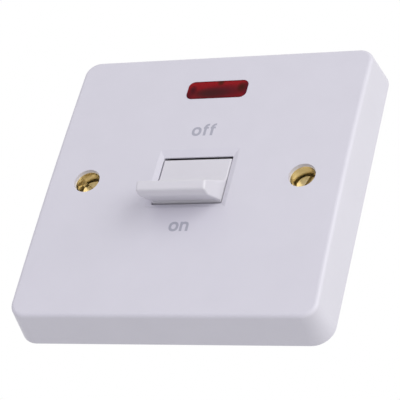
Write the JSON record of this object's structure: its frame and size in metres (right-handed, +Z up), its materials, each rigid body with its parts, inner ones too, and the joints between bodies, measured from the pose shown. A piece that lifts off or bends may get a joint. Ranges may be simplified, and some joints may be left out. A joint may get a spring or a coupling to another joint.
{
  "type": "double pole switch",
  "caption": "Square wall plate with a nosed rocker, a red indicator window, two brass fixings and a two-pole rocking-contact mechanism in a rear housing.",
  "frame": {"origin": "middle of the plate's back rim, in the plane of the wall, midway between the fixing screws", "axes": "+X to the right seen from the front, +Y into the wall, +Z up"},
  "size_m": [0.086, 0.0419, 0.086],
  "materials": {
    "plate_moulding": "moulded, softly glossy",
    "rocker_moulding": "moulded, softly glossy",
    "housing_moulding": "moulded, satin",
    "plunger_nylon": "moulded nylon",
    "spring_steel": "drawn wire",
    "brass": "bright rolled and turned",
    "contact_silver": "bright pressed",
    "zinc_screw": "zinc plated",
    "window_red": "clear tinted, polished",
    "lamp_glass": "drawn glass",
    "resistor_body": "lacquered",
    "lead_sleeve": "extruded sleeve"
  },
  "bodies": {
    "housing": {"front_plate": "plate_moulding", "base": "housing_moulding", "load_strip_left": "brass", "load_strip_right": "brass", "supply_strip_left": "brass", "supply_strip_right": "brass", "load_terminal_left": "brass", "load_terminal_right": "brass", "supply_terminal_left": "brass", "supply_terminal_right": "brass", "terminal_screws": "brass", "earth_terminal": "brass", "earth_screw": "brass", "earth_strap": "brass", "fixing_eyelet_left": "brass", "fixing_eyelet_right": "brass", "fixing_screws": "brass", "fixed_tip_left": "contact_silver", "fixed_tip_right": "contact_silver", "base_screws": "zinc_screw", "neon_lens": "window_red", "neon_lamp": "lamp_glass", "neon_resistor": "resistor_body", "neon_lead_left": "lead_sleeve", "neon_lead_right": "lead_sleeve"},
    "rocker": {"rocker": "rocker_moulding", "plunger_spring_left": "spring_steel", "plunger_spring_right": "spring_steel"},
    "plunger_left": {"plunger_left": "plunger_nylon"},
    "plunger_right": {"plunger_right": "plunger_nylon"},
    "contact_left": {"contact_bar_left": "brass", "moving_tip_left": "contact_silver"},
    "contact_right": {"contact_bar_right": "brass", "moving_tip_right": "contact_silver"}
  },
  "joints": [
    {"name": "rocker_tilt", "type": "hinge", "parent": "housing", "child": "rocker", "pos_m": [0, -0.0082, -0.0004], "axis": [-1, 0, 0], "range_deg": [0, 18]},
    {"name": "plunger_left_slide", "type": "slide", "parent": "rocker", "child": "plunger_left", "axis": [0, -0.9877, -0.1564], "range_m": [0, 0.0035], "stiffness_N_per_m": 200, "deforming": ["plunger_spring_left"]},
    {"name": "contact_left_rock", "type": "hinge", "parent": "housing", "child": "contact_left", "pos_m": [-0.0054, 0.0043, -0.0004], "axis": [-1, 0, 0], "range_deg": [-18, 0]},
    {"name": "plunger_right_slide", "type": "slide", "parent": "rocker", "child": "plunger_right", "axis": [0, -0.9877, -0.1564], "range_m": [0, 0.0035], "stiffness_N_per_m": 200, "deforming": ["plunger_spring_right"]},
    {"name": "contact_right_rock", "type": "hinge", "parent": "housing", "child": "contact_right", "pos_m": [0.0054, 0.0043, -0.0004], "axis": [-1, 0, 0], "range_deg": [-18, 0]}
  ],
  "couplings": [
    {"joint": "contact_left_rock", "follows": "rocker_tilt", "ratio": -1},
    {"joint": "contact_right_rock", "follows": "rocker_tilt", "ratio": -1}
  ]
}
